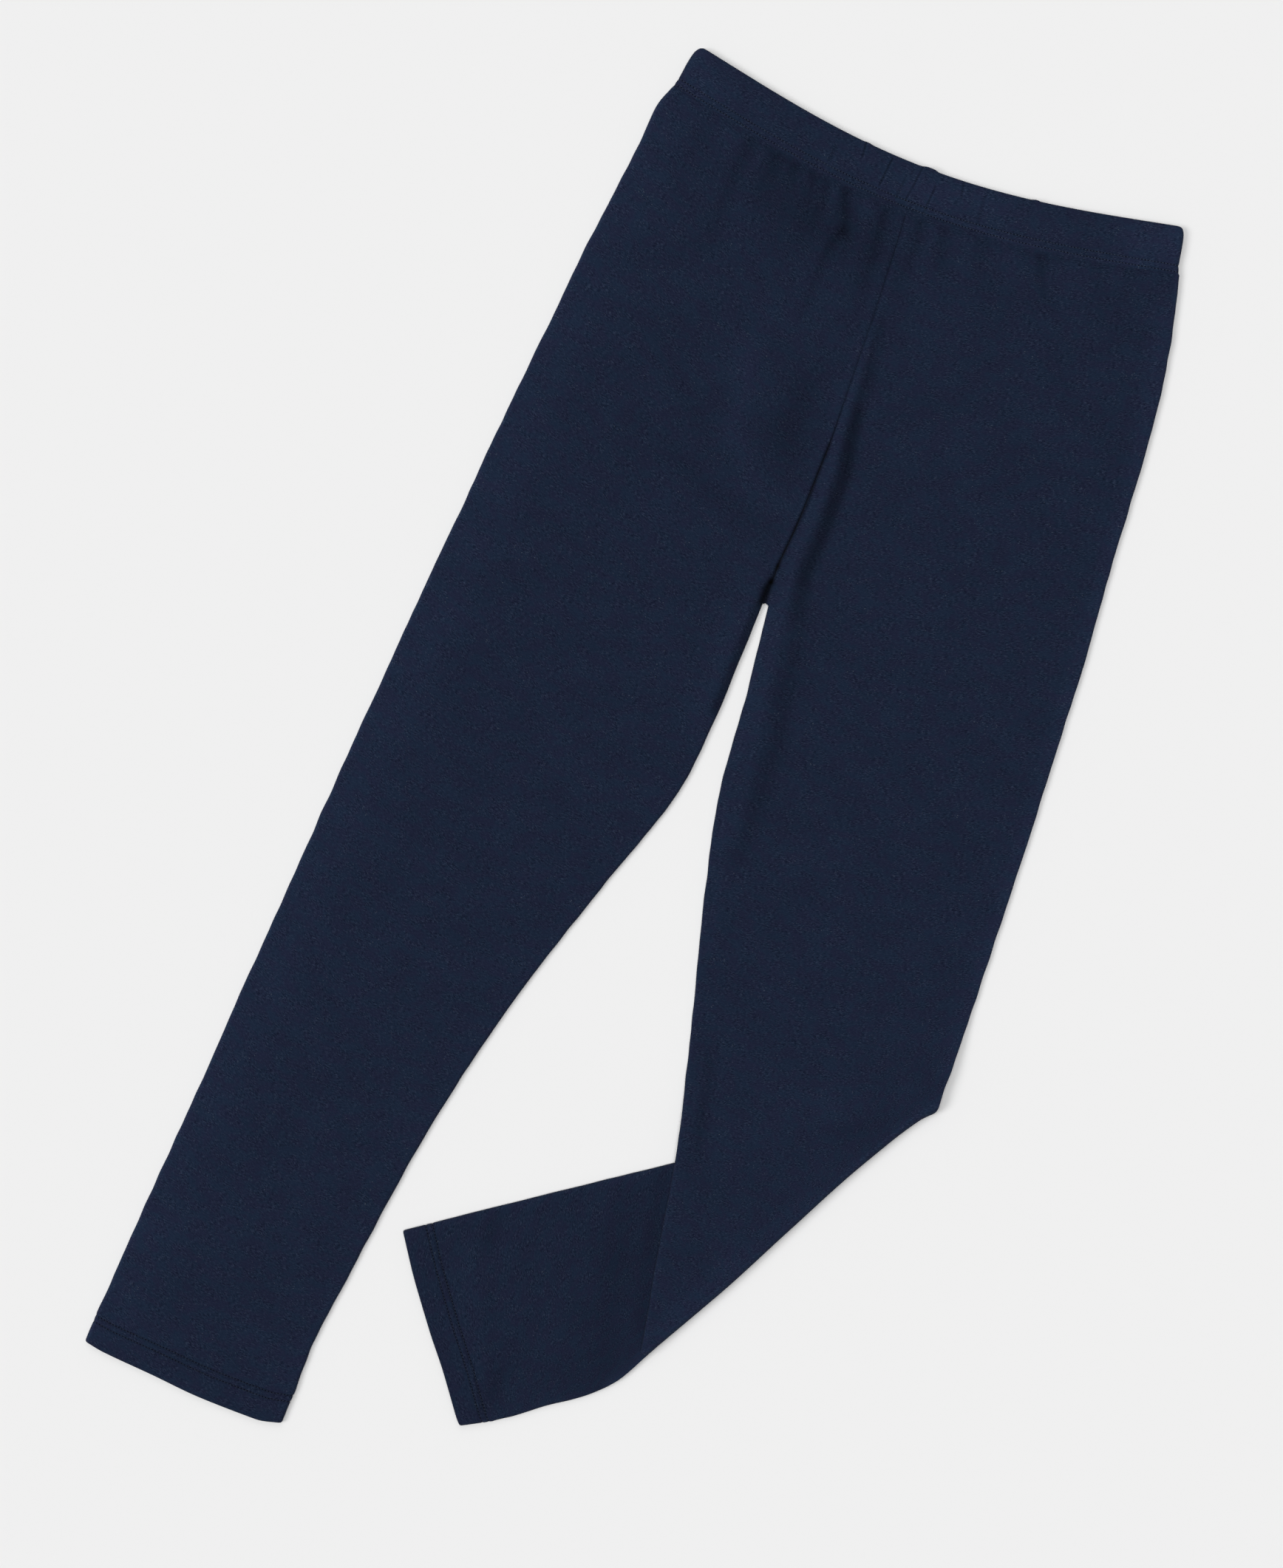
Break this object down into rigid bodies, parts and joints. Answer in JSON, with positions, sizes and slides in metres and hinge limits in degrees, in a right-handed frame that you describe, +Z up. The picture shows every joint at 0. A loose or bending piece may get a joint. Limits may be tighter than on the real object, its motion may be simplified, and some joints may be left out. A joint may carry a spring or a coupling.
{
  "type": "leggings",
  "caption": "Pull-on jersey leggings with a stitched elastic waistband and turned hems, lying flat with a lower leg folded under at a slant",
  "frame": {"origin": "middle of the underside of the laid garment's box, on the surface it lies on", "axes": "+Y runs up the centre front towards the waist, +X towards the wearer's left, +Z up, out of the front of the garment"},
  "size_m": [0.3302, 0.6628, 0.0072],
  "materials": {
    "leg_right": "matt cotton jersey",
    "leg_left": "matt cotton jersey",
    "waistband": "matt cotton jersey over elastic",
    "hem_right": "matt cotton jersey",
    "hem_left": "matt cotton jersey"
  },
  "bodies": {
    "root": {"leg_right": "leg_right", "leg_left": "leg_left", "waistband": "waistband", "hem_right": "hem_right", "hem_left": "hem_left"}
  },
  "joints": []
}
